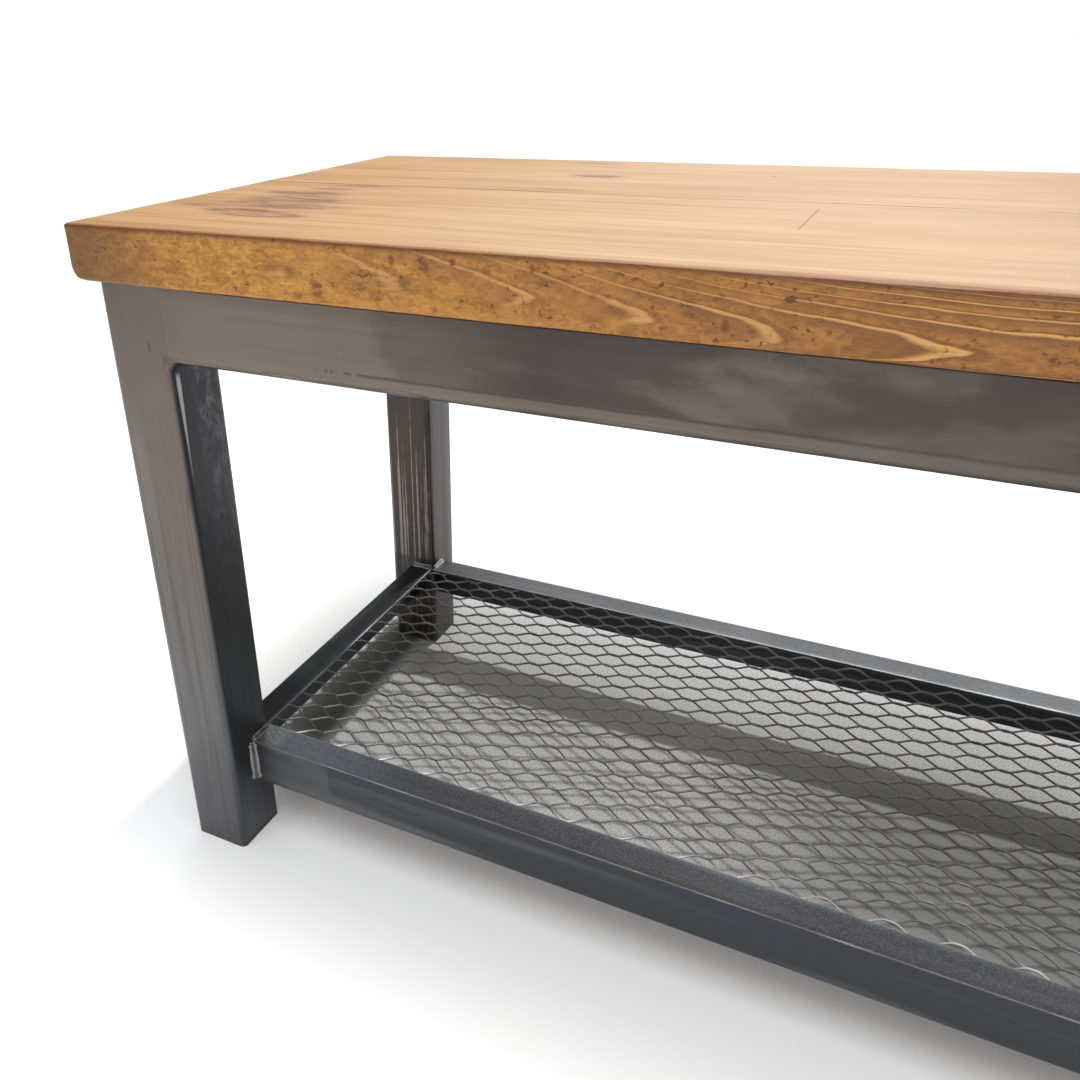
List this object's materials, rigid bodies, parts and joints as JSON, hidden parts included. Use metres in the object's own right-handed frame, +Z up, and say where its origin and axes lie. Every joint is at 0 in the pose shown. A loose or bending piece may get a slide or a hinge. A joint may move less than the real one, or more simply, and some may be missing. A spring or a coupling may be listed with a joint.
{
  "type": "entryway bench",
  "caption": "Long bench with a thick timber seat on a square-tube steel frame and a low expanded-metal shelf for shoes.",
  "frame": {"origin": "on the floor, under the middle of the seat", "axes": "+X along the length of the bench, -Y out of its front, +Z up"},
  "size_m": [1, 0.41, 0.506],
  "materials": {
    "timber": "satin",
    "frame_steel": "satin",
    "shelf_steel": "satin",
    "mesh_steel": "satin",
    "weld_steel": "satin",
    "zinc_steel": "satin"
  },
  "bodies": {
    "root": {"seat_board_front": "timber", "seat_board_rear": "timber", "leg_front_left": "frame_steel", "leg_front_right": "frame_steel", "leg_rear_left": "frame_steel", "leg_rear_right": "frame_steel", "foot_plate_front_left": "frame_steel", "foot_plate_front_right": "frame_steel", "foot_plate_rear_left": "frame_steel", "foot_plate_rear_right": "frame_steel", "apron_front": "frame_steel", "apron_rear": "frame_steel", "apron_left": "frame_steel", "apron_right": "frame_steel", "corner_welds": "frame_steel", "shelf_angle_front": "shelf_steel", "shelf_angle_rear": "shelf_steel", "shelf_angle_left": "shelf_steel", "shelf_angle_right": "shelf_steel", "shelf_mesh": "mesh_steel", "shelf_welds": "weld_steel", "seat_cleat_front_left": "frame_steel", "seat_cleat_front_middle": "frame_steel", "seat_cleat_front_right": "frame_steel", "seat_cleat_rear_left": "frame_steel", "seat_cleat_rear_middle": "frame_steel", "seat_cleat_rear_right": "frame_steel", "cleat_screws": "zinc_steel", "screw_washers": "zinc_steel"}
  },
  "joints": []
}
